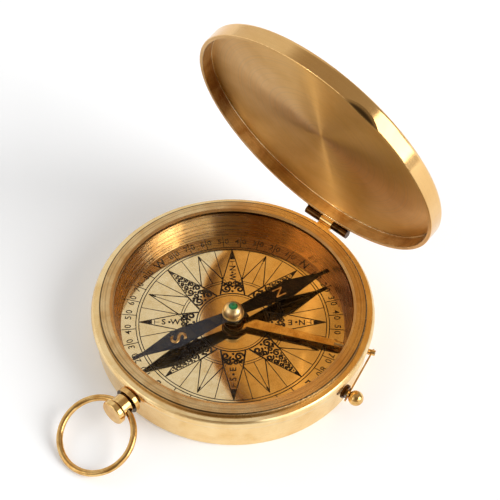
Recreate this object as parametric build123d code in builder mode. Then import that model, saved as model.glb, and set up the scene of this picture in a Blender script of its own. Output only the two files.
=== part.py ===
from build123d import *
import os
from math import acos, asin, cos, radians, sin, sqrt, tan

# Pocket compass in millimetres: +Z up, origin at the middle of the flat base, lid hinge at +Y.

# Fits and cuts
seat_gap = 0.01
running_gap = 0.04
overrun = 1.0

# Case cup
case_radius = 36.8
case_wall = 3.2
foot_round = 0.8
floor_thickness = 1.4
chamber_height = 1.95
ledge_width = 2.1
flange_bulge = 1.2
flange_height = 3.6
flange_top_set = 0.7
flange_widest_share = 0.62

# Dial plate and liner ring
dial_thickness = 1.0
liner_foot_width = 3.3
liner_head_width = 1.6

# Needle: blade, collet, cap and jewel
needle_azimuth = 71.5
needle_clearance = 3.8
blade_thickness = 0.3
blade_end_gap = 0.72
blade_hub_half = 1.5
blade_broad_reach = 17.7
blade_broad_half = 2.8
blade_tip_length = 3.2
blade_tip_half = 0.55
collet_radius = 3.0
collet_flange_height = 0.4
collet_neck_radius = 2.2
collet_bore_gap = 0.35
tenon_radius = 1.6
tenon_stand = 0.6
cap_radius = 2.75
cap_skirt = 0.7
cap_lip = 0.2
cap_lip_height = 0.3
jewel_radius = 1.25
jewel_length = 1.7
jewel_proud = 0.05
jewel_cup_radius = 0.5
jewel_cup_depth = 0.4

# Pivot post and its nut
post_radius = 0.8
post_cone_height = 1.6
post_tip_gap = 0.03
post_shoulder_radius = 1.15
post_shoulder_height = 0.5
nut_across_flats = 4.0
nut_height = 1.2
thread_stand = 0.2

# Crystal and bezel ring
crystal_gap = 0.25
crystal_thickness = 0.7
bezel_wall = 2.15
bezel_lip = 1.4
bezel_lip_thickness = 0.4
bezel_lip_land = 0.12
bezel_slope = 0.75
bezel_edge_round = 0.25
bezel_stand = 1.1
bezel_seat_depth = 1.6

# Needle lock: lever, bush, wire and knob
lever_azimuth = 25.4
lever_clearance = 1.3
lever_thickness = 0.6
lever_eye_radius = 3.6
lever_eye_bore = 2.5
lever_eye_offset = 1.0
lever_inner_half = 1.6
lever_outer_half = 0.95
lever_end_gap = 0.5
lever_turn = 12.0
brake_gap = 0.06
tail_radius = 0.8
tail_root = 1.5
tail_stand = 2.7
tail_clearance = 0.25
bush_radius = 1.5
bush_stand = 0.2
wire_radius = 0.25
wire_tail_stand = 1.8
wire_near_end = 1.1
wire_far_end = 2.6
knob_azimuth = 2.8
knob_rise = 0.35
knob_gap = 0.5
knob_collar_radius = 2.0
knob_collar_length = 0.6
knob_step_radius = 1.6
knob_step_length = 0.5
knob_neck_radius = 0.85
knob_neck_length = 0.75
knob_ball_radius = 2.05

# Crown, its collar and the bow ring
crown_azimuth = -92.1
crown_drop = 0.1
crown_stem_radius = 1.6
crown_stem_inset = 0.3
crown_seat_depth = 0.15
crown_seat_gap = 0.2
crown_boss_radius = 2.4
crown_boss_length = 1.7
crown_collar_radius = 3.6
crown_collar_length = 1.42
crown_groove_length = 0.4
crown_body_radius = 2.85
crown_body_length = 2.85
crown_waist_radius = 2.3
crown_waist_length = 0.45
crown_end_radius = 3.45
crown_end_length = 1.65
crown_end_round = 0.5
crown_edge_round = 0.2
bow_radius = 10.0
bow_wire_radius = 0.87
bow_hole_gap = 0.1
bow_rest_gap = 0.02

# Lid and hinge
lid_open_angle = 75.3
lid_gap = 0.05
lid_overhang = 0.4
lid_height = 4.75
lid_wall = 1.1
lid_shoulder = 0.9
lid_inner_round = 0.3
lid_rim_round = 0.15
notch_azimuth = -59.0
notch_half = 5.75
notch_cut = 0.85
notch_depth = 1.7
hinge_barrel_radius = 1.2
hinge_pin_radius = 0.5
hinge_clearance = 0.1
hinge_drop = 0.4
hinge_half = 7.2
case_knuckle_half = 2.0
knuckle_side_gap = 0.1
case_web_sink = 0.1
lid_web_sink = 0.2

# Heights that follow from the stack of dial, needle, crystal and bezel
dial_seat = floor_thickness + chamber_height
dial_top = dial_seat + dial_thickness
blade_bottom = dial_top + needle_clearance
blade_top = blade_bottom + blade_thickness
cap_centre = blade_top + cap_skirt
jewel_hole_radius = jewel_radius + seat_gap
jewel_edge = cap_centre + sqrt(cap_radius**2 - jewel_hole_radius**2)
jewel_bottom = jewel_edge - jewel_length
jewel_top = cap_centre + cap_radius + jewel_proud
post_tip = jewel_bottom + jewel_cup_depth - post_tip_gap
crystal_bottom = jewel_top + crystal_gap
crystal_top = crystal_bottom + crystal_thickness
bezel_top = crystal_top + bezel_lip_thickness
flange_top = bezel_top - bezel_stand
flange_bottom = flange_top - flange_height
flange_widest = flange_bottom + flange_widest_share * flange_height
bezel_seat = flange_top - bezel_seat_depth
lever_height = dial_top + lever_clearance
lever_turned_half = lever_thickness / 2 / cos(radians(lever_turn))
collet_bottom = lever_height + collet_radius * tan(radians(lever_turn)) + lever_turned_half + brake_gap
knob_height = lever_height + knob_rise
crown_height = flange_bottom - crown_drop
lid_rim = flange_top + lid_gap
lid_top = lid_rim + lid_height
lid_ceiling = lid_top - lid_wall
hinge_z = flange_top - hinge_drop

# Radii and reaches that follow from the case
bore_radius = case_radius - case_wall
ledge_radius = bore_radius - ledge_width
flange_radius = case_radius + flange_bulge
flange_top_radius = flange_radius - flange_top_set
bezel_radius = bore_radius + bezel_wall
bezel_lip_radius = bore_radius - bezel_lip
liner_foot_radius = bore_radius - liner_foot_width
liner_head_radius = bore_radius - liner_head_width
liner_slope_share = (blade_bottom - dial_top) / (crystal_bottom - dial_top)
liner_blade_radius = liner_foot_radius + liner_slope_share * (liner_head_radius - liner_foot_radius)
blade_arm = liner_blade_radius - blade_end_gap
lid_radius = flange_radius + lid_overhang
lid_inner_radius = lid_radius - lid_wall
hinge_y = lid_radius + hinge_barrel_radius + hinge_clearance
lever_bar_end = liner_foot_radius - lever_end_gap
tail_end = case_radius + tail_stand
knob_start = case_radius + knob_gap
knob_step_start = knob_start + knob_collar_length
knob_neck_start = knob_step_start + knob_step_length
knob_neck_end = knob_neck_start + knob_neck_length
knob_ball_centre = knob_neck_end + sqrt(knob_ball_radius**2 - knob_neck_radius**2)
crown_boss_start = case_radius - crown_seat_depth
crown_collar_start = crown_boss_start + crown_boss_length
crown_collar_end = crown_collar_start + crown_collar_length
crown_body_start = crown_collar_end + crown_groove_length
crown_body_end = crown_body_start + crown_body_length
crown_end_start = crown_body_end + crown_waist_length
crown_end = crown_end_start + crown_end_length
bow_hole_reach = (crown_body_start + crown_body_end) / 2
bow_sagitta = bow_radius - sqrt(bow_radius**2 - crown_body_radius**2)
bow_arm = bow_radius - bow_sagitta / 2
bow_hole_radius = bow_wire_radius + bow_sagitta / 2 + bow_hole_gap
bow_lean = asin((crown_height - bow_wire_radius - bow_rest_gap) / (bow_arm + bow_radius))


def outward(azimuth):
    return Vector(cos(radians(azimuth)), sin(radians(azimuth)), 0)


def radial_point(azimuth, reach, height):
    return outward(azimuth) * reach + Vector(0, 0, height)


def radial_section(azimuth, height):
    # local x runs outward from the compass's axis, local y runs up
    return Plane(origin=(0, 0, height), x_dir=outward(azimuth), z_dir=outward(azimuth - 90))


def radial_face(azimuth, reach, height):
    # faces outward, at a reach from the compass's axis
    middle = radial_point(azimuth, reach, height)
    return Plane(origin=middle, x_dir=outward(azimuth + 90), z_dir=outward(azimuth))


crown_section = radial_section(crown_azimuth, crown_height)
crown_axis = Axis(crown_section.origin, crown_section.x_dir)
knob_section = radial_section(knob_azimuth, knob_height)
knob_axis = Axis(knob_section.origin, knob_section.x_dir)
lever_plane = Plane(origin=(0, 0, lever_height), x_dir=outward(lever_azimuth), z_dir=(0, 0, 1))
needle_plane = Plane(origin=(0, 0, blade_bottom), x_dir=outward(needle_azimuth), z_dir=(0, 0, 1))

# The lock wire runs straight from the lever's tail to the knob's neck
wire_tail_point = radial_point(lever_azimuth, case_radius + wire_tail_stand, lever_height)
wire_neck_point = radial_point(knob_azimuth, knob_neck_start + knob_neck_length / 2, knob_height)
wire_way = (wire_neck_point - wire_tail_point).normalized()
wire_start = wire_tail_point - wire_way * wire_near_end
wire_length = (wire_neck_point - wire_tail_point).length + wire_near_end + wire_far_end
wire_plane = Plane(origin=wire_start, z_dir=wire_way)

# The lid is drawn closed, on planes that carry it open about the hinge
lid_turn = Location((0, hinge_y, hinge_z)) * Location((0, 0, 0), (-lid_open_angle, 0, 0))
lid_swing = lid_turn * Location((0, -hinge_y, -hinge_z))
lid_section = Plane(lid_swing * Plane.XZ.location)
lid_cross = Plane(lid_swing * Plane.YZ.location)
lid_axis = Axis(lid_section.origin, lid_section.y_dir)

# Case cup: the floor, the ledge for the dial, the bore, the bezel's seat, the flange and the crown's flat seat
with BuildPart() as case_cup:
    with BuildSketch(Plane.XZ):
        with BuildLine():
            FilletPolyline((0, 0), (case_radius, 0), (case_radius, flange_bottom), radius=foot_round)
            ThreePointArc(
                (case_radius, flange_bottom), (flange_radius, flange_widest), (flange_top_radius, flange_top)
            )
            Polyline(
                (flange_top_radius, flange_top),
                (bezel_radius, flange_top),
                (bezel_radius, bezel_seat),
                (bore_radius, bezel_seat),
                (bore_radius, dial_seat),
                (ledge_radius, dial_seat),
                (ledge_radius, floor_thickness),
                (0, floor_thickness),
                (0, 0),
            )
        make_face()
    revolve(axis=Axis.Z)
    with BuildSketch(radial_face(crown_azimuth, ledge_radius, crown_height)):
        Circle(crown_stem_radius + seat_gap)
    extrude(amount=flange_radius - ledge_radius + overrun, mode=Mode.SUBTRACT)
    with BuildSketch(radial_face(crown_azimuth, crown_boss_start, crown_height)):
        Circle(crown_boss_radius + crown_seat_gap)
    extrude(amount=flange_bulge + crown_seat_depth + overrun, mode=Mode.SUBTRACT)
    with BuildSketch(radial_face(lever_azimuth, ledge_radius, lever_height)):
        Circle(bush_radius + seat_gap)
    extrude(amount=flange_radius - ledge_radius + overrun, mode=Mode.SUBTRACT)
case_cup.part.label = "case_cup"

# Dial plate on the case's ledge
with BuildPart() as dial_plate:
    with BuildSketch(Plane.XY.offset(dial_seat)):
        Circle(bore_radius - seat_gap)
        Circle(post_radius + seat_gap, mode=Mode.SUBTRACT)
    extrude(amount=dial_thickness)
dial_plate.part.label = "dial_plate"

# Liner ring between the dial and the crystal, with the lever's hole
with BuildPart() as liner_ring:
    with BuildSketch(Plane.XZ):
        with BuildLine():
            Polyline(
                (liner_foot_radius, dial_top),
                (bore_radius - seat_gap, dial_top),
                (bore_radius - seat_gap, crystal_bottom),
                (liner_head_radius, crystal_bottom),
                close=True,
            )
        make_face()
    revolve(axis=Axis.Z)
    with BuildSketch(radial_face(lever_azimuth, lever_bar_end, lever_height)):
        Circle(tail_radius + tail_clearance)
    extrude(amount=bore_radius - lever_bar_end, mode=Mode.SUBTRACT)
liner_ring.part.label = "liner_ring"

# Crystal on the liner ring
with BuildPart() as crystal:
    with BuildSketch(Plane.XY.offset(crystal_bottom)):
        Circle(bore_radius - seat_gap)
    extrude(amount=crystal_thickness)
crystal.part.label = "crystal"

# Bezel ring: skirt in the case's seat, lip over the crystal, sloped inner edge
with BuildPart() as bezel_ring:
    with BuildSketch(Plane.XZ):
        with BuildLine():
            FilletPolyline(
                (bore_radius, bezel_seat),
                (bezel_radius - seat_gap, bezel_seat),
                (bezel_radius - seat_gap, bezel_top),
                (bezel_lip_radius + bezel_slope, bezel_top),
                (bezel_lip_radius, crystal_top + bezel_lip_land),
                (bezel_lip_radius, crystal_top),
                (bore_radius, crystal_top),
                radius=[0, 0, bezel_edge_round, bezel_edge_round, 0, 0, 0],
                close=True,
            )
        make_face()
    revolve(axis=Axis.Z)
bezel_ring.part.label = "bezel_ring"

# Pivot post: threaded tail through the dial, shoulder, stem and point
with BuildPart() as pivot_post:
    with BuildSketch(Plane.XZ):
        with BuildLine():
            Polyline(
                (0, dial_seat - nut_height - thread_stand),
                (post_radius, dial_seat - nut_height - thread_stand),
                (post_radius, dial_top),
                (post_shoulder_radius, dial_top),
                (post_shoulder_radius, dial_top + post_shoulder_height),
                (post_radius, dial_top + post_shoulder_height),
                (post_radius, post_tip - post_cone_height),
                (0, post_tip),
                close=True,
            )
        make_face()
    revolve(axis=Axis.Z)
pivot_post.part.label = "pivot_post"

# Pivot nut under the dial
with BuildPart() as pivot_nut:
    with BuildSketch(Plane.XY.offset(dial_seat - nut_height)):
        RegularPolygon(nut_across_flats / 2, side_count=6, major_radius=False)
        Circle(post_radius + seat_gap, mode=Mode.SUBTRACT)
    extrude(amount=nut_height)
pivot_nut.part.label = "pivot_nut"

# Needle blade: two equal tapered arms with blunt tips
with BuildPart() as needle_blade:
    with BuildSketch(needle_plane):
        with BuildLine():
            Polyline(
                (0, 0),
                (blade_arm, 0),
                (blade_arm, blade_tip_half),
                (blade_arm - blade_tip_length, blade_tip_half),
                (blade_broad_reach, blade_broad_half),
                (collet_radius, blade_hub_half),
                (0, blade_hub_half),
                close=True,
            )
        make_face()
        mirror(about=Plane.YZ)
        mirror(about=Plane.XZ)
        Circle(collet_radius)
        Circle(tenon_radius + seat_gap, mode=Mode.SUBTRACT)
    extrude(amount=blade_thickness)
needle_blade.part.label = "needle_blade"

# Needle collet: brake flange, neck and the tenon that joins blade and cap
with BuildPart() as needle_collet:
    with BuildSketch(Plane.XZ):
        with BuildLine():
            Polyline(
                (post_radius + collet_bore_gap, collet_bottom),
                (collet_radius, collet_bottom),
                (collet_radius, collet_bottom + collet_flange_height),
                (collet_neck_radius, collet_bottom + collet_flange_height),
                (collet_neck_radius, blade_bottom),
                (tenon_radius, blade_bottom),
                (tenon_radius, blade_top + tenon_stand),
                (post_radius + collet_bore_gap, blade_top + tenon_stand),
                close=True,
            )
        make_face()
    revolve(axis=Axis.Z)
needle_collet.part.label = "needle_collet"

# Needle cap: a dome on a short skirt, holed at its top for the jewel
cap_arc_turn = acos(jewel_hole_radius / cap_radius) / 2
cap_arc_middle = (cap_radius * cos(cap_arc_turn), cap_centre + cap_radius * sin(cap_arc_turn))
with BuildPart() as needle_cap:
    with BuildSketch(Plane.XZ):
        with BuildLine():
            Polyline(
                (tenon_radius + seat_gap, blade_top),
                (cap_radius + cap_lip, blade_top),
                (cap_radius + cap_lip, blade_top + cap_lip_height),
                (cap_radius, blade_top + cap_lip_height),
                (cap_radius, cap_centre),
            )
            ThreePointArc((cap_radius, cap_centre), cap_arc_middle, (jewel_hole_radius, jewel_edge))
            Polyline(
                (jewel_hole_radius, jewel_edge),
                (jewel_hole_radius, jewel_bottom),
                (tenon_radius + seat_gap, jewel_bottom),
                (tenon_radius + seat_gap, blade_top),
            )
        make_face()
    revolve(axis=Axis.Z)
needle_cap.part.label = "needle_cap"

# Needle jewel: a domed stone with a conical cup for the post's point
with BuildPart() as needle_jewel:
    with BuildSketch(Plane.XZ):
        with BuildLine():
            TangentArc((0, jewel_top), (jewel_radius, jewel_edge), tangent=(1, 0))
            Polyline(
                (jewel_radius, jewel_edge),
                (jewel_radius, jewel_bottom),
                (jewel_cup_radius, jewel_bottom),
                (0, jewel_bottom + jewel_cup_depth),
                (0, jewel_top),
            )
        make_face()
    revolve(axis=Axis.Z)
needle_jewel.part.label = "needle_jewel"

# Lever bush in the case wall
with BuildPart() as lever_bush:
    with BuildSketch(radial_face(lever_azimuth, bore_radius, lever_height)):
        Circle(bush_radius)
        Circle(tail_radius + running_gap, mode=Mode.SUBTRACT)
    extrude(amount=case_wall + bush_stand)
lever_bush.part.label = "lever_bush"

# Lift lever: eye round the post, tapered bar and round tail with the wire's hole
with BuildPart() as lift_lever:
    with BuildSketch(lever_plane):
        with Locations((lever_eye_offset, 0)):
            Circle(lever_eye_radius)
        with BuildLine():
            Polyline(
                (lever_eye_offset, -lever_inner_half),
                (lever_bar_end, -lever_outer_half),
                (lever_bar_end, lever_outer_half),
                (lever_eye_offset, lever_inner_half),
                close=True,
            )
        make_face()
        with Locations((lever_eye_offset, 0)):
            Circle(lever_eye_bore, mode=Mode.SUBTRACT)
    extrude(amount=lever_thickness / 2, both=True)
    with BuildSketch(radial_face(lever_azimuth, lever_bar_end - tail_root, lever_height)):
        Circle(tail_radius)
    extrude(amount=tail_end - lever_bar_end + tail_root)
    with BuildSketch(wire_plane):
        Circle(wire_radius + seat_gap)
    extrude(amount=2 * wire_near_end, mode=Mode.SUBTRACT)
lift_lever.part.label = "lift_lever"

# Lock wire outside the case wall
with BuildPart() as lock_wire:
    with BuildSketch(wire_plane):
        Circle(wire_radius)
    extrude(amount=wire_length)
lock_wire.part.label = "lock_wire"

# Lock knob: stepped collar, neck with the wire's hole, and ball
with BuildPart() as lock_knob:
    with BuildSketch(knob_section):
        with BuildLine():
            Polyline(
                (knob_start, 0),
                (knob_start, knob_collar_radius),
                (knob_step_start, knob_collar_radius),
                (knob_step_start, knob_step_radius),
                (knob_neck_start, knob_step_radius),
                (knob_neck_start, knob_neck_radius),
                (knob_neck_end, knob_neck_radius),
            )
            ThreePointArc(
                (knob_neck_end, knob_neck_radius),
                (knob_ball_centre, knob_ball_radius),
                (knob_ball_centre + knob_ball_radius, 0),
            )
            Line((knob_ball_centre + knob_ball_radius, 0), (knob_start, 0))
        make_face()
    revolve(axis=knob_axis)
    with BuildSketch(wire_plane):
        Circle(wire_radius + seat_gap)
    extrude(amount=wire_length, mode=Mode.SUBTRACT)
lock_knob.part.label = "lock_knob"

# Crown: stem in the case wall, body with the bow's cross hole, waist and domed end
crown_rounds = [0, 0, 0, crown_edge_round, crown_edge_round, 0, 0, crown_edge_round, crown_end_round, 0]
with BuildPart() as crown:
    with BuildSketch(crown_section):
        with BuildLine():
            FilletPolyline(
                (bore_radius + crown_stem_inset, 0),
                (bore_radius + crown_stem_inset, crown_stem_radius),
                (crown_body_start, crown_stem_radius),
                (crown_body_start, crown_body_radius),
                (crown_body_end, crown_body_radius),
                (crown_body_end, crown_waist_radius),
                (crown_end_start, crown_waist_radius),
                (crown_end_start, crown_end_radius),
                (crown_end, crown_end_radius),
                (crown_end, 0),
                radius=crown_rounds,
                close=True,
            )
        make_face()
    revolve(axis=crown_axis)
    with BuildSketch(crown_section):
        with Locations((bow_hole_reach, 0)):
            Circle(bow_hole_radius)
    extrude(amount=crown_body_radius + overrun, both=True, mode=Mode.SUBTRACT)
crown.part.label = "crown"

# Crown collar: the ring on the crown's stem, its boss against the seat in the wall
with BuildPart() as crown_collar:
    with BuildSketch(crown_section):
        with BuildLine():
            FilletPolyline(
                (crown_boss_start, crown_stem_radius + seat_gap),
                (crown_boss_start, crown_boss_radius),
                (crown_collar_start, crown_boss_radius),
                (crown_collar_start, crown_collar_radius),
                (crown_collar_end, crown_collar_radius),
                (crown_collar_end, crown_stem_radius + seat_gap),
                radius=[0, 0, 0, crown_edge_round, crown_edge_round, 0],
                close=True,
            )
        make_face()
    revolve(axis=crown_axis)
crown_collar.part.label = "crown_collar"

# Bow ring through the crown's cross hole, its far side resting at the level of the base
bow_way = outward(crown_azimuth) * cos(bow_lean) - Vector(0, 0, sin(bow_lean))
bow_centre = radial_point(crown_azimuth, bow_hole_reach, crown_height) + bow_way * bow_arm
bow_section = Plane(origin=bow_centre, x_dir=bow_way, z_dir=outward(crown_azimuth - 90))
with BuildPart() as bow_ring:
    with BuildSketch(bow_section):
        with Locations((bow_radius, 0)):
            Circle(bow_wire_radius)
    revolve(axis=Axis(bow_section.origin, bow_section.y_dir))
bow_ring.part.label = "bow_ring"

# Lid shell: a shallow round cap with a nail notch, a blind round scoop in the rim's outer edge
notch_end_reach = sqrt(lid_radius**2 - notch_half**2)
notch_floor_reach = lid_radius - notch_cut
notch_reach = (lid_radius**2 - notch_floor_reach**2) / (2 * (notch_end_reach - notch_floor_reach))
notch_drop = (notch_cut * (2 * notch_reach - notch_floor_reach - lid_radius) / notch_depth - notch_depth) / 2
notch_radius = sqrt((notch_reach - notch_floor_reach) ** 2 + notch_drop**2)
notch_middle = radial_point(notch_azimuth, notch_reach, lid_rim - notch_drop)
with BuildPart() as lid_shell:
    with BuildSketch(lid_section):
        with BuildLine():
            FilletPolyline(
                (0, lid_top),
                (lid_radius, lid_top),
                (lid_radius, lid_rim),
                (lid_inner_radius, lid_rim),
                (lid_inner_radius, lid_ceiling),
                (0, lid_ceiling),
                radius=[0, lid_shoulder, lid_rim_round, lid_rim_round, lid_inner_round, 0],
                close=True,
            )
        make_face()
    revolve(axis=lid_axis)
    with Locations(lid_swing * Location(notch_middle)):
        Sphere(notch_radius, mode=Mode.SUBTRACT)
lid_shell.part.label = "lid_shell"

# Lid knuckles: the two outer hinge barrels with their webs on the lid's wall
lid_knuckle_start = case_knuckle_half + knuckle_side_gap
lid_web_start = sqrt(lid_radius**2 - hinge_half**2) - lid_web_sink
with BuildPart() as lid_knuckles:
    for plane_offset in (lid_knuckle_start, -hinge_half):
        with BuildSketch(lid_cross.offset(plane_offset)):
            with Locations((hinge_y, hinge_z)):
                Circle(hinge_barrel_radius)
            with BuildLine():
                Polyline(
                    (lid_web_start, lid_rim),
                    (hinge_y, lid_rim),
                    (hinge_y, hinge_z + hinge_barrel_radius),
                    (lid_web_start, hinge_z + hinge_barrel_radius),
                    close=True,
                )
            make_face()
            with Locations((hinge_y, hinge_z)):
                Circle(hinge_pin_radius + running_gap, mode=Mode.SUBTRACT)
        extrude(amount=hinge_half - lid_knuckle_start)
    add(lid_shell.part, mode=Mode.SUBTRACT)
lid_knuckles.part.label = "lid_knuckles"

# Case knuckle: the middle hinge barrel with its web on the flange
with BuildPart() as case_knuckle:
    with BuildSketch(Plane.YZ):
        with Locations((hinge_y, hinge_z)):
            Circle(hinge_barrel_radius)
        with BuildLine():
            Polyline(
                (case_radius, hinge_z - hinge_barrel_radius),
                (hinge_y, hinge_z - hinge_barrel_radius),
                (hinge_y, hinge_z - case_web_sink),
                (case_radius, hinge_z - case_web_sink),
                close=True,
            )
        make_face()
        with Locations((hinge_y, hinge_z)):
            Circle(hinge_pin_radius + seat_gap, mode=Mode.SUBTRACT)
    extrude(amount=case_knuckle_half, both=True)
    add(case_cup.part, mode=Mode.SUBTRACT)
case_knuckle.part.label = "case_knuckle"

# Hinge pin through the three barrels
with BuildPart() as hinge_pin:
    with BuildSketch(Plane.YZ):
        with Locations((hinge_y, hinge_z)):
            Circle(hinge_pin_radius)
    extrude(amount=hinge_half, both=True)
hinge_pin.part.label = "hinge_pin"

os.makedirs("parts", exist_ok=True)
export_step(case_cup.part, "parts/case_cup.step")
export_step(dial_plate.part, "parts/dial_plate.step")
export_step(liner_ring.part, "parts/liner_ring.step")
export_step(crystal.part, "parts/crystal.step")
export_step(bezel_ring.part, "parts/bezel_ring.step")
export_step(pivot_post.part, "parts/pivot_post.step")
export_step(pivot_nut.part, "parts/pivot_nut.step")
export_step(needle_blade.part, "parts/needle_blade.step")
export_step(needle_collet.part, "parts/needle_collet.step")
export_step(needle_cap.part, "parts/needle_cap.step")
export_step(needle_jewel.part, "parts/needle_jewel.step")
export_step(lever_bush.part, "parts/lever_bush.step")
export_step(lift_lever.part, "parts/lift_lever.step")
export_step(lock_wire.part, "parts/lock_wire.step")
export_step(lock_knob.part, "parts/lock_knob.step")
export_step(crown.part, "parts/crown.step")
export_step(crown_collar.part, "parts/crown_collar.step")
export_step(bow_ring.part, "parts/bow_ring.step")
export_step(lid_shell.part, "parts/lid_shell.step")
export_step(lid_knuckles.part, "parts/lid_knuckles.step")
export_step(case_knuckle.part, "parts/case_knuckle.step")
export_step(hinge_pin.part, "parts/hinge_pin.step")
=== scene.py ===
import bpy
import math
from mathutils import Matrix, Vector


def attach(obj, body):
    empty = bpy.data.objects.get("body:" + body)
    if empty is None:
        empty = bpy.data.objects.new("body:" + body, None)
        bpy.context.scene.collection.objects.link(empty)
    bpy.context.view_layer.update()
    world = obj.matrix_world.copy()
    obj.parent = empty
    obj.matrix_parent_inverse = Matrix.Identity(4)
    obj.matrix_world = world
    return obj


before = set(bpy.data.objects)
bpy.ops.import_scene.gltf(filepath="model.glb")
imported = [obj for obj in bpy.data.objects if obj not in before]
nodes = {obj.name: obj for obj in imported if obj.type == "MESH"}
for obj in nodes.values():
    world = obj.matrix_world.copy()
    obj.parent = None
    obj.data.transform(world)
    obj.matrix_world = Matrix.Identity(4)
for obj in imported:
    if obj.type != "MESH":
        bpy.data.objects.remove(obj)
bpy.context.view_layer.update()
mm = 0.001  # the scene is in metres, the sizes below are in millimetres
print("compass: frame loaded,", len(nodes), "CAD nodes")


def linear(hexColour):  # sRGB hex to the linear values that a shader takes
    parts = [int(hexColour[i:i + 2], 16) / 255 for i in (1, 3, 5)]
    shares = [c / 12.92 if c <= 0.04045 else ((c + 0.055) / 1.055) ** 2.4 for c in parts]
    return tuple(shares) + (1.0,)


def addNode(tree, kind, settings=None, links=None):
    node = tree.nodes.new("ShaderNode" + kind)
    for key, value in (settings or {}).items():
        if isinstance(key, str) and hasattr(node, key):
            setattr(node, key, value)
        else:
            node.inputs[key].default_value = value
    for key, source in (links or {}).items():
        tree.links.new(source, node.inputs[key])
    return node


def newMaterial(name):
    material = bpy.data.materials.new(name)
    material.use_nodes = True
    tree = material.node_tree
    tree.nodes.clear()
    return material, tree


def deselectAll():
    if bpy.context.object and bpy.context.object.mode != "OBJECT":
        bpy.ops.object.mode_set(mode="OBJECT")
    bpy.ops.object.select_all(action="DESELECT")


def applyPlace(piece):
    deselectAll()
    piece.select_set(True)
    bpy.context.view_layer.objects.active = piece
    bpy.ops.object.transform_apply(location=True, rotation=True, scale=True)
    return piece


def joinAs(name, parts):
    deselectAll()
    for part in parts:
        part.select_set(True)
    bpy.context.view_layer.objects.active = parts[0]
    if len(parts) > 1:
        bpy.ops.object.join()
    piece = bpy.context.view_layer.objects.active
    piece.name = name
    piece.data.name = name
    return piece


def turnedCopy(piece, turn):  # a copy with its own mesh, turned about the dial's middle
    deselectAll()
    piece.select_set(True)
    bpy.context.view_layer.objects.active = piece
    bpy.ops.object.duplicate(linked=False)
    copy = bpy.context.view_layer.objects.active
    copy.rotation_euler.z = math.radians(turn)
    return applyPlace(copy)


def polar(radius, turn):
    return Vector((radius * math.cos(math.radians(turn)), radius * math.sin(math.radians(turn)), 0))


def towards(azimuth, elevation):  # unit direction in the room
    a, e = math.radians(azimuth), math.radians(elevation)
    return Vector((math.cos(a) * math.cos(e), math.sin(a) * math.cos(e), math.sin(e)))


# where the lid's own axis lies at rest: it is turned open about the hinge line
lidPlace = {
    "openTurn": 75.3, "hingeY": 39.7 * mm, "hingeZ": 11.8 * mm,
    "ceiling": 15.9 * mm, "rim": 12.25 * mm, "bore": 37.45 * mm,  # as they lie on the shut lid
    "flatGap": 0.1 * mm, "downward": -0.9}  # how near and how level a face is to count as flat


def lidMapping():  # brings the open lid back to the case's axis, so that its rings are round
    turn = math.radians(lidPlace["openTurn"])
    hinge = Vector((0, lidPlace["hingeY"], lidPlace["hingeZ"]))
    shift = hinge - Matrix.Rotation(turn, 3, "X") @ hinge
    return {"Location": shift, "Rotation": (turn, 0, 0)}


def acrossGrooves(tree, coordinates, mapping):
    # direction on a turned surface that crosses its grooves, where their glint is drawn out
    turn = mapping.get("Rotation", (0, 0, 0))
    centred = addNode(tree, "Mapping", mapping,
                      {"Vector": coordinates.outputs["Object"]}).outputs["Vector"]
    facing = addNode(tree, "Mapping", {"vector_type": "NORMAL", "Rotation": turn},
                     {"Vector": coordinates.outputs["Normal"]}).outputs["Vector"]
    around = addNode(tree, "VectorMath", {"operation": "CROSS_PRODUCT", 0: (0, 0, 1)},
                     {1: centred}).outputs["Vector"]
    across = addNode(tree, "VectorMath", {"operation": "CROSS_PRODUCT"},
                     {0: around, 1: facing}).outputs["Vector"]
    back = addNode(tree, "Mapping", {"vector_type": "VECTOR", "Rotation": [-r for r in turn]},
                   {"Vector": across}).outputs["Vector"]
    unit = addNode(tree, "VectorMath", {"operation": "NORMALIZE"}, {0: back}).outputs["Vector"]
    return addNode(tree, "VectorTransform", {
        "vector_type": "VECTOR", "convert_from": "OBJECT", "convert_to": "WORLD"},
        {0: unit}).outputs[0]


def bandMask(tree, value, low, high, soft):  # 1 between two sizes, fading to 0 outside them
    rise = addNode(tree, "MapRange", {
        "From Min": (low - soft) * mm, "From Max": (low + soft) * mm},
        {"Value": value}).outputs["Result"]
    fall = addNode(tree, "MapRange", {
        "From Min": (high + soft) * mm, "From Max": (high - soft) * mm},
        {"Value": value}).outputs["Result"]
    return addNode(tree, "Math", {"operation": "MULTIPLY"}, {0: rise, 1: fall}).outputs[0]


# what all turned brass shares: where a smudge and a dirty groove begin and end in their noise
latheLook = {"smudgeEdges": (0.38, 0.68), "dirtEdges": (0.52, 0.34), "spread": (0.3, 0.7),
             "grooveDirt": "#5a3413", "jointDirtAndShade": "#1c1007"}


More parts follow.
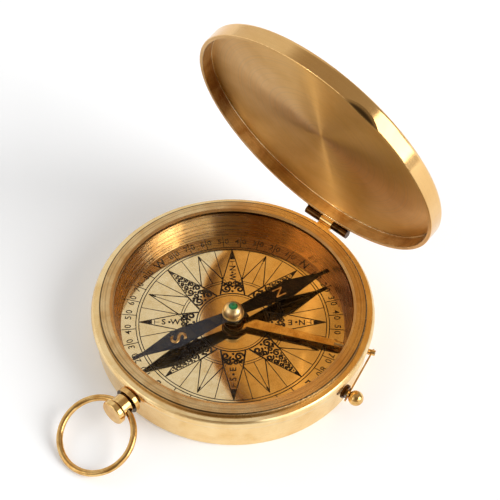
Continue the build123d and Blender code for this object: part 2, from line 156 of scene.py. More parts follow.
def turnedBrass(name, finish):
    material, tree = newMaterial(name)
    coordinates = addNode(tree, "TexCoord")
    mapping = finish.get("mapping", {})
    low, high = latheLook["spread"]
    centred = addNode(tree, "Mapping", mapping,
                      {"Vector": coordinates.outputs["Object"]}).outputs["Vector"]
    flat = addNode(tree, "VectorMath", {"operation": "MULTIPLY", 1: (1, 1, 0)},
                   {0: centred}).outputs["Vector"]
    radius = addNode(tree, "VectorMath", {"operation": "LENGTH"}, {0: flat}).outputs["Value"]
    height = addNode(tree, "SeparateXYZ", {}, {0: centred}).outputs["Z"]
    along = addNode(tree, "Math", {"operation": "ADD"}, {0: radius, 1: height}).outputs[0]
    # real lathe lines are a few hundredths of a millimetre apart: drawn coarser so that they show
    lines = addNode(tree, "TexNoise", {
        "noise_dimensions": "1D", "Scale": 1 / (finish["lineGap"] * mm), "Detail": 3.0,
        "Roughness": 0.65}, {"W": along}).outputs["Fac"]
    smudge = addNode(tree, "TexNoise", {
        "Scale": 1 / (finish["smudgeSize"] * mm), "Detail": 4.0, "Roughness": 0.6,
        "Distortion": 0.4}, {"Vector": centred}).outputs["Fac"]
    cloudy = addNode(tree, "MapRange", {
        "From Min": latheLook["smudgeEdges"][0], "From Max": latheLook["smudgeEdges"][1]},
        {"Value": smudge}).outputs["Result"]
    clean = addNode(tree, "Mix", {
        "data_type": "RGBA", 6: linear(finish["colour"]), 7: linear(finish["tarnish"])},
        {0: cloudy}).outputs[2]
    dirt = addNode(tree, "MapRange", {
        "From Min": latheLook["dirtEdges"][0], "From Max": latheLook["dirtEdges"][1],
        "To Max": finish["grime"]}, {"Value": lines}).outputs["Result"]
    colour = addNode(tree, "Mix", {"data_type": "RGBA", 7: linear(latheLook["grooveDirt"])},
                     {0: dirt, 6: clean}).outputs[2]
    # old polish left in joints and grooves, and painted shade in recesses and under overhangs:
    # inner and outer radius, share, softness, the lowest and the highest level
    for inner, outer, share, soft, bottom, top in finish.get("dirtAndShadeRings", ()):
        ring = bandMask(tree, radius, inner, outer, soft)
        level = bandMask(tree, height, bottom, top, soft)
        mask = addNode(tree, "Math", {"operation": "MULTIPLY"}, {0: ring, 1: level}).outputs[0]
        amount = addNode(tree, "Math", {"operation": "MULTIPLY", 1: share}, {0: mask}).outputs[0]
        colour = addNode(tree, "Mix", {"data_type": "RGBA", 7: linear(latheLook["jointDirtAndShade"])},
                         {0: amount, 6: colour}).outputs[2]
    for sideBrowning in finish.get("sideBrowning", ()):  # browner towards one side
        across = addNode(tree, "SeparateXYZ", {}, {0: centred}).outputs[sideBrowning["axis"]]
        amount = addNode(tree, "MapRange", {
            "From Min": sideBrowning["clear"] * mm, "From Max": sideBrowning["full"] * mm, "To Max": sideBrowning["share"]},
            {"Value": across}).outputs["Result"]
        colour = addNode(tree, "Mix", {"data_type": "RGBA", 7: linear(sideBrowning["colour"])},
                         {0: amount, 6: colour}).outputs[2]
    worn = addNode(tree, "MapRange", {
        "From Min": low, "From Max": high, "To Min": finish["rough"][0],
        "To Max": finish["rough"][1]}, {"Value": smudge}).outputs["Result"]
    lined = addNode(tree, "MapRange", {
        "From Min": low, "From Max": high, "To Min": -finish["lineRough"],
        "To Max": finish["lineRough"]}, {"Value": lines}).outputs["Result"]
    rough = addNode(tree, "Math", {"operation": "ADD", "use_clamp": True},
                    {0: worn, 1: lined}).outputs[0]
    grooves = addNode(tree, "Bump", {"Strength": 1.0, "Distance": finish["lineDepth"] * mm},
                      {"Height": lines}).outputs["Normal"]
    links = {"Base Color": colour, "Roughness": rough, "Normal": grooves}
    if finish["waveDepth"]:
        links["Normal"] = addNode(tree, "Bump", {
            "Strength": 1.0, "Distance": finish["waveDepth"] * mm},
            {"Height": smudge, "Normal": grooves}).outputs["Normal"]
    if finish["glint"]:
        links["Tangent"] = acrossGrooves(tree, coordinates, mapping)
    shader = addNode(tree, "BsdfPrincipled", {
        "Metallic": 1.0, "Anisotropic": finish["glint"]}, links)
    addNode(tree, "OutputMaterial", {}, {"Surface": shader.outputs["BSDF"]})
    return material


# polished brass wall: a warm mirror softened by handling, with faint rings from the lathe
caseBrass = turnedBrass("polished brass, lathe turned", {
    "colour": "#f6daa4", "tarnish": "#ebc482", "rough": (0.16, 0.28), "lineRough": 0.03,
    "lineGap": 0.5, "lineDepth": 0.0012, "smudgeSize": 9.0, "waveDepth": 0.012,
    "grime": 0.05, "glint": 0.5, "dirtAndShadeRings": ((35.5, 35.9, 0.15, 0.1, 11.0, 14.0),)})
# bezel: satin flat top with tool marks round it, and a dark joint where it meets the flange
bezelBrass = turnedBrass("satin brass, faced on the lathe", {
    "colour": "#e6c690", "tarnish": "#cfa468", "rough": (0.24, 0.34), "lineRough": 0.05,
    "lineGap": 0.42, "lineDepth": 0.004, "smudgeSize": 7.0, "waveDepth": 0.006,
    "grime": 0.35, "glint": 0.8,
    "dirtAndShadeRings": ((35.36, 36.0, 0.85, 0.05, 13.1, 13.6), (35.5, 36.0, 0.15, 0.08, 10.0, 12.35),
                  (34.15, 34.3, 0.3, 0.08, 10.0, 14.0))})
# liner: glossy spun wall whose rings draw the light into level streaks; browner and redder away
# from its highlight and darker at its foot, all painted shade
linerBrass = turnedBrass("spun brass, ringed", {
    "colour": "#fbe0b0", "tarnish": "#ecc080", "rough": (0.24, 0.3), "lineRough": 0.06,
    "lineGap": 0.9, "lineDepth": 0.012, "smudgeSize": 8.0, "waveDepth": 0.003,
    "grime": 0.75, "glint": 0.8, "dirtAndShadeRings": ((28.0, 34.0, 0.45, 1.5, 1.0, 5.6),),
    "sideBrowning": ({"axis": "X", "clear": -26.0, "full": -16.0, "share": 0.95, "colour": "#b06c28"},
             {"axis": "X", "clear": 8.0, "full": 20.0, "share": 0.92, "colour": "#7c3c14"})})
# dial: rolled sheet polished to a mirror, so it shows the needle and the lid
dialBrass = turnedBrass("rolled brass sheet, mirror polished", {
    "colour": "#ecd3a2", "tarnish": "#e2c48c", "rough": (0.05, 0.1), "lineRough": 0.0,
    "lineGap": 0.4, "lineDepth": 0.0002, "smudgeSize": 3.0, "waveDepth": 0.0008,
    "grime": 0.0, "glint": 0.0})
# lid's inside: turned face, its fine rings spread each light into a bow tie; browner towards one
# side as painted shade for the darker reflection there
lidFaceBrass = turnedBrass("turned brass, brushed round", {
    "colour": "#e6b56c", "tarnish": "#daa658", "rough": (0.33, 0.38), "lineRough": 0.05,
    "lineGap": 0.6, "lineDepth": 0.0005, "smudgeSize": 14.0, "waveDepth": 0.0,
    "grime": 0.12, "glint": 1.0, "mapping": lidMapping(),
    "sideBrowning": ({"axis": "X", "clear": -22.0, "full": 8.0, "share": 0.15, "colour": "#6e4210"},)})
# lid's wall and back: polished like the case, its nail notch darkened as painted shade
lidBrass = turnedBrass("polished brass, lid wall", {
    "colour": "#edc282", "tarnish": "#e6b672", "rough": (0.12, 0.2), "lineRough": 0.03,
    "lineGap": 0.5, "lineDepth": 0.0006, "smudgeSize": 16.0, "waveDepth": 0.006,
    "grime": 0.05, "glint": 0.4, "mapping": lidMapping(),
    "dirtAndShadeRings": ((37.45, 38.1, 0.8, 0.12, 12.4, 15.0),)})
# lid's inner wall: where a cloth seldom reaches, spotted, and browner away from the hinge
lidWallBrass = turnedBrass("tarnished brass, lid's inner wall", {
    "colour": "#f6dcac", "tarnish": "#c09458", "rough": (0.14, 0.26), "lineRough": 0.03,
    "lineGap": 0.5, "lineDepth": 0.0006, "smudgeSize": 6.0, "waveDepth": 0.006,
    "grime": 0.2, "glint": 0.4, "mapping": lidMapping(),
    "sideBrowning": ({"axis": "Y", "clear": 22.0, "full": 12.0, "share": 0.3, "colour": "#3a2210"},)})
# small turned fittings: bright from handling
fittingBrass = turnedBrass("polished brass, small turned fittings", {
    "colour": "#efc884", "tarnish": "#d09c54", "rough": (0.1, 0.2), "lineRough": 0.02,
    "lineGap": 0.3, "lineDepth": 0.0006, "smudgeSize": 3.0, "waveDepth": 0.004,
    "grime": 0.1, "glint": 0.0})
# crown and its collar: the same, with its grooves near-black and its neck next to the case in
# painted shade under the flange
crownBrass = turnedBrass("polished brass, dark grooves, shaded neck", {
    "colour": "#efc884", "tarnish": "#d8a45c", "rough": (0.1, 0.2), "lineRough": 0.02,
    "lineGap": 0.3, "lineDepth": 0.0006, "smudgeSize": 3.0, "waveDepth": 0.003,
    "grime": 0.1, "glint": 0.0,
    "dirtAndShadeRings": ((36.0, 38.3, 0.97, 0.05, 0.0, 13.0), (39.8, 40.16, 0.97, 0.04, 0.0, 13.0),
                  (43.04, 43.46, 0.9, 0.05, 0.0, 13.0))})
# needle cap: pale brass with a soft lustre
capBrass = turnedBrass("pale brass, satin cap", {
    "colour": "#f8e0aa", "tarnish": "#ecc988", "rough": (0.3, 0.38), "lineRough": 0.03,
    "lineGap": 0.3, "lineDepth": 0.0008, "smudgeSize": 1.5, "waveDepth": 0.001,
    "grime": 0.05, "glint": 0.0})
# collet and the lever's sides and underside: brown and dull brass as painted shade under the needle
# and the bar
shadedBrass = turnedBrass("brass darkened as painted shade", {
    "colour": "#6a4622", "tarnish": "#3a2410", "rough": (0.3, 0.45), "lineRough": 0.03,
    "lineGap": 0.3, "lineDepth": 0.001, "smudgeSize": 1.2, "waveDepth": 0.002,
    "grime": 0.2, "glint": 0.0})
# hinge: unpolished brass gone brown, glossy where it is rubbed
hingeBrass = turnedBrass("tarnished brass, drawn", {
    "colour": "#5c3d1e", "tarnish": "#1e1209", "rough": (0.07, 0.16), "lineRough": 0.0,
    "lineGap": 0.4, "lineDepth": 0.0, "smudgeSize": 1.6, "waveDepth": 0.003,
    "grime": 0.3, "glint": 0.0})
print("compass: brass finishes made")


coatLook = {"toneEdges": (0.35, 0.65)}  # where the second tone begins and is full in the noise


def plainFinish(name, finish):  # a smooth coat or stone with a soft change of tone
    material, tree = newMaterial(name)
    place = addNode(tree, "TexCoord").outputs["Object"]
    cloud = addNode(tree, "TexNoise", {
        "Scale": 1 / (finish["cloudSize"] * mm), "Detail": 5.0, "Roughness": 0.55},
        {"Vector": place}).outputs["Fac"]
    tone = addNode(tree, "MapRange", {
        "From Min": coatLook["toneEdges"][0], "From Max": coatLook["toneEdges"][1]},
        {"Value": cloud}).outputs["Result"]
    colour = addNode(tree, "Mix", {
        "data_type": "RGBA", 6: linear(finish["colours"][0]), 7: linear(finish["colours"][1])},
        {0: tone}).outputs[2]
    if "otherArm" in finish:  # the needle's south arm is painted lighter: partly its own finish, partly painted reflection of the white it mirrors
        arm = finish["otherArm"]
        lengthwise = addNode(tree, "Mapping", {"Rotation": (0, 0, -math.radians(arm["turn"]))},
                             {"Vector": place}).outputs["Vector"]
        along = addNode(tree, "SeparateXYZ", {}, {0: lengthwise}).outputs["X"]
        south = addNode(tree, "MapRange", {
            "From Min": arm["fade"] * mm, "From Max": -arm["fade"] * mm},
            {"Value": along}).outputs["Result"]
        colour = addNode(tree, "Mix", {"data_type": "RGBA", 7: linear(arm["colour"])},
                         {0: south, 6: colour}).outputs[2]
    rough = addNode(tree, "MapRange", {
        "To Min": finish["rough"][0], "To Max": finish["rough"][1]},
        {"Value": cloud}).outputs["Result"]
    grain = addNode(tree, "Bump", {"Strength": 1.0, "Distance": finish["grainDepth"] * mm},
                    {"Height": cloud}).outputs["Normal"]
    shader = addNode(tree, "BsdfPrincipled", finish["shader"],
                     {"Base Color": colour, "Roughness": rough, "Normal": grain})
    addNode(tree, "OutputMaterial", {}, {"Surface": shader.outputs["BSDF"]})
    return material


# blued steel under oil: a near-black coat with a thin clear sheen
needleSteel = plainFinish("blued steel, oil blackened", {
    "colours": ("#030203", "#060506"), "cloudSize": 4.0, "rough": (0.08, 0.14),
    "grainDepth": 0.0002, "otherArm": {"turn": 71.5, "fade": 1.0, "colour": "#2b292c"},
    "shader": {"Metallic": 0.0, "IOR": 1.55, "Specular IOR Level": 0.1}})
# pivot post: bright ground steel, seen only as a glint under the cap
postSteel = plainFinish("bright steel, ground point", {
    "colours": ("#c9ccd0", "#aeb2b8"), "cloudSize": 2.0, "rough": (0.12, 0.25),
    "grainDepth": 0.0004, "shader": {"Metallic": 1.0}})
# green agate, cut as a low dome and polished: deep clouded green under a clear gloss
jewelStone = plainFinish("green agate, polished", {
    "colours": ("#0a7a40", "#023a1c"), "cloudSize": 0.9, "rough": (0.05, 0.1), "grainDepth": 0.0,
    "shader": {"Metallic": 0.0, "IOR": 1.54, "Coat Weight": 0.15, "Coat Roughness": 0.03}})
# printing ink: matt brown-black film, thinner at places
dialInk = plainFinish("screen printing ink, dry", {
    "colours": ("#140c06", "#22160c"), "cloudSize": 1.5, "rough": (0.4, 0.55), "grainDepth": 0.0003,
    "shader": {"Metallic": 0.0, "IOR": 1.48, "Specular IOR Level": 0.2}})
# gold paint on the needle: metal flake in varnish
letterGold = plainFinish("gold bronze paint", {
    "colours": ("#e3bd7c", "#b5834a"), "cloudSize": 0.8, "rough": (0.25, 0.4), "grainDepth": 0.001,
    "shader": {"Metallic": 1.0}})

# crystal: flat mineral glass, clear, with a breath of wiping marks; the low alpha lets the lamps
# light the dial as real glass does
glassLook = {"wipeSize": 5.0, "wipeRough": 0.012, "ior": 1.5, "alpha": 0.03}
crystalGlass, glassTree = newMaterial("mineral glass, flat ground")
glassPlace = addNode(glassTree, "TexCoord").outputs["Object"]
wipe = addNode(glassTree, "TexNoise", {"Scale": 1 / (glassLook["wipeSize"] * mm), "Detail": 3.0},
               {"Vector": glassPlace}).outputs["Fac"]
glassRough = addNode(glassTree, "MapRange", {"To Min": 0.0, "To Max": glassLook["wipeRough"]},
                     {"Value": wipe}).outputs["Result"]
glassShader = addNode(glassTree, "BsdfPrincipled", {
    "Base Color": linear("#ffffff"), "IOR": glassLook["ior"], "Transmission Weight": 1.0,
    "Alpha": glassLook["alpha"]}, {"Roughness": glassRough})
addNode(glassTree, "OutputMaterial", {}, {"Surface": glassShader.outputs["BSDF"]})

nodeFinish = {
    "case_cup": caseBrass, "bezel_ring": bezelBrass, "liner_ring": linerBrass,
    "dial_plate": dialBrass, "lid_shell": lidBrass, "crystal": crystalGlass,
    "needle_blade": needleSteel, "needle_cap": capBrass, "needle_jewel": jewelStone,
    "needle_collet": shadedBrass, "pivot_post": postSteel, "crown": crownBrass,
    "crown_collar": crownBrass, "lid_knuckles": hingeBrass, "hinge_pin": hingeBrass}
for nodeName, node in nodes.items():
    node.data.materials.clear()
    node.data.materials.append(nodeFinish.get(nodeName, fittingBrass))

lidNode = nodes["lid_shell"]
lidNode.data.materials.append(lidFaceBrass)
lidNode.data.materials.append(lidWallBrass)
openTurn = math.radians(lidPlace["openTurn"])
for polygon in lidNode.data.polygons:  # the flat ceiling and rim have the brushed face
    fromY = polygon.center.y - lidPlace["hingeY"]
    fromZ = polygon.center.z - lidPlace["hingeZ"]
    depth = fromY * math.sin(openTurn) + fromZ * math.cos(openTurn) + lidPlace["hingeZ"]
    reach = fromY * math.cos(openTurn) - fromZ * math.sin(openTurn) + lidPlace["hingeY"]
    facing = polygon.normal.y * math.sin(openTurn) + polygon.normal.z * math.cos(openTurn)
    fromFlat = min(abs(depth - lidPlace["ceiling"]), abs(depth - lidPlace["rim"]))
    if fromFlat < lidPlace["flatGap"] and facing < lidPlace["downward"]:
        polygon.material_index = 1
    elif depth < lidPlace["ceiling"] and math.hypot(polygon.center.x, reach) < lidPlace["bore"]:
        polygon.material_index = 2

knobFaces = {"collarReach": 38.5}  # the collar gets the dark hinge brass, the ball keeps the bright finish
knobNode = nodes["lock_knob"]
knobNode.data.materials.append(hingeBrass)
for polygon in knobNode.data.polygons:
    if math.hypot(polygon.center.x, polygon.center.y) < knobFaces["collarReach"] * mm:
        polygon.material_index = 1

leverFaces = {"upward": 0.5, "barReach": 32.0}  # the bar's sides and underside get painted shade, its top stays bright
leverNode = nodes["lift_lever"]
leverNode.data.materials.append(shadedBrass)
for polygon in leverNode.data.polygons:
    fromMiddle = math.hypot(polygon.center.x, polygon.center.y)
    if polygon.normal.z < leverFaces["upward"] and fromMiddle < leverFaces["barReach"] * mm:
        polygon.material_index = 1
print("compass: finishes set on the CAD nodes")


# the dial's print: flat pieces of ink that are joined and then given the thickness of a film
rose = {
    "level": 4.352, "film": 0.012,  # underside of the ink, and how thick it is
    "northTurn": 87.0,  # where the printed north lies
    "tip": 25.3, "cornerRadius": 14.9, "cornerTurn": 10.1,
    "petalRadius": 10.0, "petalTurn": 19.5,
    "rayTip": 25.5, "rayTurn": 11.25,
    "halfTip": 24.9, "halfTurn": 22.5, "halfLine": 24.0, "tick": 22.9, "tickWidths": (0.14, 0.6),
    "arcs": (14.3, 13.6), "arcGap": 1.2,
    "thin": 0.2, "ray": 0.24, "edge": 0.3, "bold": 0.34, "petal": 0.476,  # widths of the strokes
    "rings": ((9.8, 0.34), (9.1, 0.16), (25.45, 0.24), (26.25, 0.24))}


def inkQuad(corners):  # a plane whose four corners go to their places on the dial
    deselectAll()
    bpy.ops.mesh.primitive_plane_add(size=1)
    quad = bpy.context.object
    order = (0, 1, 3, 2)  # the plane's own corners, taken round
    for index, corner in zip(order, corners):
        quad.data.vertices[index].co = Vector((corner.x * mm, corner.y * mm, 0))
    return quad


def inkLine(start, end, width, endWidth=None):
    side = Vector((start.y - end.y, end.x - start.x, 0)).normalized()
    first, last = side * width / 2, side * (endWidth or width) / 2
    return inkQuad([start - first, end - last, end + last, start + first])


def inkRing(radius, width, steps=180):
    deselectAll()
    bpy.ops.mesh.primitive_circle_add(vertices=steps, radius=(radius + width / 2) * mm,
                                      fill_type="NOTHING")
    ring = bpy.context.object
    bpy.ops.object.mode_set(mode="EDIT")
    bpy.ops.mesh.select_all(action="SELECT")
    bpy.ops.mesh.extrude_region()
    share = (radius - width / 2) / (radius + width / 2)
    bpy.ops.transform.resize(value=(share, share, 1), center_override=(0, 0, 0))
    bpy.ops.object.mode_set(mode="OBJECT")
    return ring


def inkArc(centre, radius, fromTurn, sweep, width, curl=(), steps=10):
    # an edge as long as the stroke is wide is spun round, then again on smaller centres for a curl
    deselectAll()
    bpy.ops.mesh.primitive_plane_add(size=1)
    arc = bpy.context.object
    outward = polar(1, fromTurn)
    ends = [centre + outward * (radius - width / 2), centre + outward * (radius + width / 2)]
    bpy.ops.object.mode_set(mode="EDIT")
    bpy.ops.mesh.select_mode(type="VERT")
    bpy.ops.mesh.select_all(action="DESELECT")
    bpy.ops.object.mode_set(mode="OBJECT")
    arc.data.vertices[2].select = True
    arc.data.vertices[3].select = True
    bpy.ops.object.mode_set(mode="EDIT")
    bpy.ops.mesh.delete(type="VERT")
    bpy.ops.object.mode_set(mode="OBJECT")
    for vertex, end in zip(arc.data.vertices, ends):
        vertex.co = Vector((end.x * mm, end.y * mm, 0))
    bpy.ops.object.mode_set(mode="EDIT")
    bpy.ops.mesh.select_all(action="SELECT")
    at, reach, facing = centre, radius, fromTurn
    for angle, shrink in ((sweep, 1.0),) + tuple(curl):
        newReach = reach * shrink
        at = at + polar(reach - newReach, facing)
        reach = newReach
        bpy.ops.mesh.spin(steps=steps, angle=-math.radians(angle),
                          center=(at.x * mm, at.y * mm, 0), axis=(0, 0, 1))
        facing += angle
    bpy.ops.object.mode_set(mode="OBJECT")
    return arc


def inkDot(centre, radius):
    deselectAll()
    bpy.ops.mesh.primitive_circle_add(vertices=12, radius=radius * mm, fill_type="NGON",
                                      location=(centre.x * mm, centre.y * mm, 0))
    return applyPlace(bpy.context.object)


def inkText(words, centre, upTurn, size, bold=0.0):
    deselectAll()
    bpy.ops.object.text_add(location=(centre.x * mm, centre.y * mm, 0),
                            rotation=(0, 0, math.radians(upTurn - 90)))
    text = bpy.context.object
    text.data.body = words
    text.data.size = size * mm
    text.data.align_x = "CENTER"
    text.data.align_y = "CENTER"
    text.data.resolution_u = 3
    text.data.offset = bold * mm
    bpy.ops.object.convert(target="MESH")
    return applyPlace(bpy.context.object)


def asFilm(piece, level, thickness, finish):  # flat ink gets its level, thickness and finish
    piece.location.z = (level + thickness) * mm
    applyPlace(piece)
    film = piece.modifiers.new("film", "SOLIDIFY")
    film.thickness = thickness * mm
    film.offset = -1
    bpy.ops.object.modifier_apply(modifier="film")
    piece.data.materials.clear()
    piece.data.materials.append(finish)


scroll = {"start": 90, "sweep": 200, "curls": ((170, 0.6), (120, 0.6)), "steps": 7}


def scrollPair(radius, offset, size, width):  # two mirrored curls either side of a point's axis
    pair = []
    for hand in (1, -1):
        curls = tuple((hand * angle, shrink) for angle, shrink in scroll["curls"])
        pair.append(inkArc(Vector((radius, hand * offset, 0)), size, scroll["start"],
                           hand * scroll["sweep"], width, curls, scroll["steps"]))
    return pair


def ornament(look):  # scrolls as radius, offset, size and stroke, dots as radius, offset and size
    parts = []
    for radius, offset, size, width in look["scrolls"]:
        parts += scrollPair(radius, offset, size, width)
    for radius, offset, size in look["dots"]:
        parts.append(inkDot(Vector((radius, offset, 0)), size))
    return parts


# scrollwork between the middle disc and the shoulders of every point
petalPrint = {
    "scrolls": ((11.4, 1.75, 1.05, 0.6), (13.3, 0.95, 0.72, 0.5), (13.2, 1.95, 0.4, 0.34)),
    "dots": ((10.6, 0, 0.4), (12.6, 2.35, 0.36), (12.6, -2.35, 0.36), (12.2, 0, 0.34))}


def pointLines():  # what every one of the eight points has
    parts = []
    for hand in (1, -1):
        shoulder = polar(rose["cornerRadius"], hand * rose["cornerTurn"])
        rayTip = polar(rose["rayTip"], hand * rose["rayTurn"])
        halfTip = polar(rose["halfTip"], hand * rose["halfTurn"])
        tickEnd = polar(rose["tick"], hand * rose["halfTurn"])
        petalEnd = polar(rose["petalRadius"], hand * rose["petalTurn"])
        parts.append(inkLine(polar(rose["tip"], 0), shoulder, rose["edge"]))
        parts.append(inkLine(shoulder, rayTip, rose["ray"], rose["thin"]))
        parts.append(inkLine(shoulder, halfTip, rose["bold"], rose["thin"]))
        parts.append(inkLine(shoulder, petalEnd, rose["petal"]))
        parts.append(inkLine(halfTip, tickEnd, *rose["tickWidths"]))
    return parts


def halfPoint():  # the narrow point between two main ones, with its arcs
    turn = rose["halfTurn"]
    parts = [inkLine(polar(rose["halfLine"], turn), polar(rose["arcs"][0], turn), rose["thin"])]
    start = rose["cornerTurn"] + rose["arcGap"]
    for radius in rose["arcs"]:
        parts.append(inkArc(Vector(), radius, start, 2 * (turn - start), rose["thin"]))
    return parts


# the four main points are filled with scrolls and end in a black tip
cardinalPrint = {
    "scrolls": ((15.3, 1.2, 0.86, 0.55), (17.3, 0.92, 0.66, 0.48), (19.0, 0.7, 0.5, 0.42),
                (20.5, 0.5, 0.38, 0.36), (21.7, 0.36, 0.28, 0.28)),
    "dots": ((14.4, 0, 0.36), (16.3, 0, 0.36), (18.2, 0, 0.34), (19.8, 0, 0.3), (21.1, 0, 0.26),
             (22.6, 0, 0.26), (16.35, 1.75, 0.3), (16.35, -1.75, 0.3), (18.2, 1.3, 0.26),
             (18.2, -1.3, 0.26), (19.8, 0.95, 0.22), (19.8, -0.95, 0.22)),
    "tipEnds": (25.2, 23.1), "tipWidths": (0.15, 0.95)}


def blackTip(look):
    start, end = look["tipEnds"]
    return inkLine(polar(start, 0), polar(end, 0), *look["tipWidths"])


def cardinalPoint():
    return pointLines() + ornament(petalPrint) + ornament(cardinalPrint) + [blackTip(cardinalPrint)]


# the four points between them have a letter box with a cross bar over it
betweenPrint = {
    "tipEnds": (25.2, 21.9), "tipWidths": (0.15, 1.25),
    "barAt": 21.2, "barHalf": 0.75, "barWidth": 0.2, "stemEnd": 19.9, "stemWidth": 0.16,
    "boxAt": 15.4, "boxArcs": ((2.3, 105, 150, 0.18), (2.95, 125, 110, 0.42)), "boxSteps": 14,
    "lettersAt": (18.75, 15.6), "letterSize": 2.5, "letterBold": 0.05, "letterTurn": -90,
    "dotAt": 17.2, "dotSize": 0.36}


def betweenPoint(letters):
    look = betweenPrint
    parts = pointLines() + ornament(petalPrint) + [blackTip(look)]
    bar = Vector((look["barAt"], 0, 0))
    barSide = Vector((0, look["barHalf"], 0))
    parts.append(inkLine(bar - barSide, bar + barSide, look["barWidth"]))
    parts.append(inkLine(bar, Vector((look["stemEnd"], 0, 0)), look["stemWidth"]))
    for radius, start, sweep, width in look["boxArcs"]:  # round end of the letter box
        parts.append(inkArc(Vector((look["boxAt"], 0, 0)), radius, start, sweep, width, (),
                            look["boxSteps"]))
    for letter, at in zip(letters, look["lettersAt"]):
        parts.append(inkText(letter, Vector((at, 0, 0)), look["letterTurn"], look["letterSize"],
                             look["letterBold"]))
    parts.append(inkDot(Vector((look["dotAt"], 0, 0)), look["dotSize"]))
    return parts


printParts = []
cardinal = joinAs("cardinalPoint", cardinalPoint())
for quarter in range(4):
    printParts.append(turnedCopy(cardinal, rose["northTurn"] + 90 * quarter))
bpy.data.objects.remove(cardinal)
for quarter, letters in enumerate(("NW", "SW", "SE", "NE")):
    between = joinAs("betweenPoint", betweenPoint(letters))
    printParts.append(turnedCopy(between, rose["northTurn"] + 45 + 90 * quarter))
    bpy.data.objects.remove(between)
half = joinAs("halfPoint", halfPoint())
for eighth in range(8):
    printParts.append(turnedCopy(half, rose["northTurn"] + 45 * eighth))
bpy.data.objects.remove(half)
for radius, width in rose["rings"]:
    printParts.append(inkRing(radius, width))

degreeRing = {"inner": 26.3, "outer": 30.2, "tickWidth": 0.24, "digits": 28.35, "digitSize": 2.5,
              "digitBold": 0.02, "spread": 1.02, "letterSize": 3.3, "letterBold": 0.05,
              "letters": {0: "N", 9: "W", 18: "S", 27: "E"}}
for tens in range(36):
    turnAt = rose["northTurn"] + 10 * tens
    fromPole = min(tens % 18, 18 - tens % 18)  # counted both ways from north and from south
    if tens in degreeRing["letters"]:
        printParts.append(inkText(degreeRing["letters"][tens], polar(degreeRing["digits"], turnAt),
                                  turnAt, degreeRing["letterSize"], degreeRing["letterBold"]))
        continue
    printParts.append(inkLine(polar(degreeRing["inner"], turnAt),
                              polar(degreeRing["outer"], turnAt), degreeRing["tickWidth"]))
    for digit, side in ((str(fromPole), 1), ("0", -1)):
        step = math.degrees(side * degreeRing["spread"] / degreeRing["digits"])
        printParts.append(inkText(digit, polar(degreeRing["digits"], turnAt + step), turnAt,
                                  degreeRing["digitSize"], degreeRing["digitBold"]))

dialPrint = joinAs("dial_print", printParts)
asFilm(dialPrint, rose["level"], rose["film"], dialInk)
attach(dialPrint, "case")
print("compass: dial printed,", len(dialPrint.data.polygons), "faces")

# the letters painted on the needle's two arms
needleLetters = {
    "turn": 71.5, "level": 8.452, "film": 0.02,
    "needle_letter_north": {"letter": "N", "reach": 14.3, "size": 4.3, "bold": 0.0},
    "needle_letter_south": {"letter": "S", "reach": -17.0, "size": 6.2, "bold": 0.1}}
for letterName in ("needle_letter_north", "needle_letter_south"):
    arm = needleLetters[letterName]
    piece = inkText(arm["letter"], polar(arm["reach"], needleLetters["turn"]),
                    needleLetters["turn"], arm["size"], arm["bold"])
    piece.name = letterName
    asFilm(piece, needleLetters["level"], needleLetters["film"], letterGold)
    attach(piece, "needle")
print("compass: needle lettered")


# the studio: white paper, a plain room for the brass to mirror, lamps and camera
floor = {"size": 8.0, "colour": "#f8f8f8", "shade": "#f4f4f4", "grain": 30.0, "rough": 0.9,
         "lift": 0.13, "mirrorLift": 0.14}
deselectAll()
bpy.ops.mesh.primitive_plane_add(size=floor["size"])
paper = bpy.context.object
paper.name = "studio_floor"
paperMaterial, paperTree = newMaterial("white paper sweep")
paperPlace = addNode(paperTree, "TexCoord").outputs["Object"]
paperNoise = addNode(paperTree, "TexNoise", {"Scale": 1 / (floor["grain"] * mm)},
                     {"Vector": paperPlace}).outputs["Fac"]
paperColour = addNode(paperTree, "Mix", {
    "data_type": "RGBA", 6: linear(floor["colour"]), 7: linear(floor["shade"])},
    {0: paperNoise}).outputs[2]
paperShader = addNode(paperTree, "BsdfPrincipled", {
    "Roughness": floor["rough"], "Specular IOR Level": 0.0}, {"Base Color": paperColour})
# looked at, straight or in the brass, the paper is lifted towards white and keeps its shadow
paperPath = addNode(paperTree, "LightPath")
seenLift = addNode(paperTree, "Math", {"operation": "MULTIPLY", 1: floor["lift"]},
                   {0: paperPath.outputs["Is Camera Ray"]}).outputs[0]
paperLift = addNode(paperTree, "Math", {"operation": "MULTIPLY_ADD", 1: floor["mirrorLift"]},
                    {0: paperPath.outputs["Is Glossy Ray"], 2: seenLift}).outputs[0]
paperGlow = addNode(paperTree, "Emission", {}, {"Strength": paperLift})
paperBoth = addNode(paperTree, "AddShader", {}, {
    0: paperShader.outputs["BSDF"], 1: paperGlow.outputs["Emission"]})
addNode(paperTree, "OutputMaterial", {}, {"Surface": paperBoth.outputs["Shader"]})
paper.data.materials.append(paperMaterial)

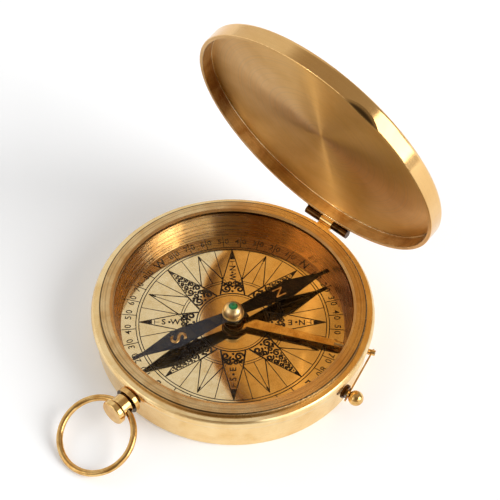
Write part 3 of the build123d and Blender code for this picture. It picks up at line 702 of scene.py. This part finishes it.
# the room as the brass shows it, each patch with its direction, its soft edge in degrees, its
# level and the height at which it ends: a pale wall round the left, dark behind the camera, a low
# pale wall at the right, panes of light at the front left and front right, a low glow behind the
# lid and a window high at the back
room = {"base": 0.4, "warm": "#ffe9cc", "white": "#ffffff", "warmLevels": (0.3, 0.85)}
room["patches"] = (
    {"azimuth": 190, "elevation": 20, "inner": 66, "outer": 88, "level": 0.78, "top": (0.76, 0.88)},
    {"azimuth": -50, "elevation": 48, "inner": 14, "outer": 32, "level": 0.2, "top": (0.95, 1.0)},
    {"azimuth": 10, "elevation": 4, "inner": 24, "outer": 42, "level": 0.74, "top": (0.2, 0.32)},
    {"azimuth": 243, "elevation": 26, "inner": 9, "outer": 20, "level": 1.7, "top": (0.9, 0.95)},
    {"azimuth": 349, "elevation": 22, "inner": 15, "outer": 21, "level": 1.6, "top": (0.5, 0.56)},
    {"azimuth": 84, "elevation": 0, "inner": 3, "outer": 24, "level": 0.8, "top": (0.3, 0.42)},
    {"azimuth": 128, "elevation": 46, "inner": 14, "outer": 26, "level": 0.86, "top": (0.84, 0.92)})
world = bpy.data.worlds.new("studio")
bpy.context.scene.world = world
world.use_nodes = True
worldTree = world.node_tree
worldTree.nodes.clear()
skyPlace = addNode(worldTree, "TexCoord").outputs["Generated"]
skyHeight = addNode(worldTree, "SeparateXYZ", {}, {0: skyPlace}).outputs["Z"]
sky = addNode(worldTree, "Value").outputs[0]
sky.default_value = room["base"]
for patch in room["patches"]:
    nearness = addNode(worldTree, "VectorMath", {
        "operation": "DOT_PRODUCT", 1: towards(patch["azimuth"], patch["elevation"])},
        {0: skyPlace}).outputs["Value"]
    spot = addNode(worldTree, "MapRange", {
        "interpolation_type": "SMOOTHSTEP", "From Min": math.cos(math.radians(patch["outer"])),
        "From Max": math.cos(math.radians(patch["inner"]))}, {"Value": nearness}).outputs["Result"]
    under = addNode(worldTree, "MapRange", {
        "interpolation_type": "SMOOTHSTEP", "From Min": patch["top"][1],
        "From Max": patch["top"][0]}, {"Value": skyHeight}).outputs["Result"]
    mask = addNode(worldTree, "Math", {"operation": "MULTIPLY"}, {0: spot, 1: under}).outputs[0]
    sky = addNode(worldTree, "Mix", {3: patch["level"]}, {0: mask, 2: sky}).outputs[0]
# what the brass mirrors is warmer where the room is dim, and past the paper the camera sees white
paleness = addNode(worldTree, "MapRange", {
    "From Min": room["warmLevels"][0], "From Max": room["warmLevels"][1]},
    {"Value": sky}).outputs["Result"]
warmth = addNode(worldTree, "Mix", {
    "data_type": "RGBA", 6: linear(room["warm"]), 7: linear(room["white"])},
    {0: paleness}).outputs[2]
worldPath = addNode(worldTree, "LightPath")
tint = addNode(worldTree, "Mix", {"data_type": "RGBA", 6: linear(room["white"])},
               {0: worldPath.outputs["Is Glossy Ray"], 7: warmth}).outputs[2]
shown = addNode(worldTree, "Mix", {3: 1.0},
                {0: worldPath.outputs["Is Camera Ray"], 2: sky}).outputs[0]
background = addNode(worldTree, "Background", {}, {"Strength": shown, "Color": tint})
addNode(worldTree, "OutputWorld", {}, {"Surface": background.outputs["Background"]})

# the key, a second share of it that the brass doesn't mirror, for the depth of the paper's shadow,
# and a small lamp at the front left that lights only the lid and draws the streak on its face
lamps = {
    "key_softbox": {"azimuth": 18.0, "elevation": 27.0, "distance": 6.0, "size": 4.12,
                    "power": 152.0, "mirrored": True},
    "paper_key": {"azimuth": 18.0, "elevation": 27.0, "distance": 6.0, "size": 4.8,
                  "power": 272.0, "mirrored": False},
    "lid_streak": {"azimuth": 246.2, "elevation": 4.5, "distance": 1.5, "size": 0.16,
                   "power": 1.5, "mirrored": True}}
for lampName, place in lamps.items():
    spotAt = towards(place["azimuth"], place["elevation"]) * place["distance"]
    deselectAll()
    bpy.ops.object.light_add(type="AREA", location=spotAt)
    lamp = bpy.context.object
    lamp.name = lampName
    lamp.data.shape = "DISK"
    lamp.data.size = place["size"]
    lamp.data.energy = place["power"]
    lamp.rotation_mode = "QUATERNION"
    lamp.rotation_quaternion = (-lamp.location).to_track_quat("-Z", "Y")
    lamp.visible_glossy = place["mirrored"]
lidOnly = bpy.data.collections.new("lid_only")
lidOnly.objects.link(lidNode)
bpy.data.objects["lid_streak"].light_linking.receiver_collection = lidOnly

cameraPlace = {"lens": 115.2, "sensor": 36.0, "distance": 429.7, "elevation": 50.663,
               "azimuth": 39.536, "roll": 2.018, "target": (-4.999, 12.275, 20.0),
               "clip": (0.01, 50.0)}
around = math.radians(cameraPlace["azimuth"])
above = math.radians(cameraPlace["elevation"])
forward = Vector((-math.sin(around) * math.cos(above), math.cos(around) * math.cos(above),
                  -math.sin(above)))
level = Vector((math.cos(around), math.sin(around), 0))
upright = level.cross(forward)
roll = math.radians(cameraPlace["roll"])
right = level * math.cos(roll) + upright * math.sin(roll)
up = upright * math.cos(roll) - level * math.sin(roll)
deselectAll()
bpy.ops.object.camera_add()
camera = bpy.context.object
camera.data.lens = cameraPlace["lens"]
camera.data.sensor_width = cameraPlace["sensor"]
camera.data.clip_start, camera.data.clip_end = cameraPlace["clip"]
cameraAt = (Vector(cameraPlace["target"]) - forward * cameraPlace["distance"]) * mm
turned = Matrix((right, up, -forward)).transposed().to_4x4()
camera.matrix_world = Matrix.Translation(cameraAt) @ turned
bpy.context.scene.camera = camera
bpy.context.scene.view_settings.view_transform = "Standard"
print("compass: studio and camera set")
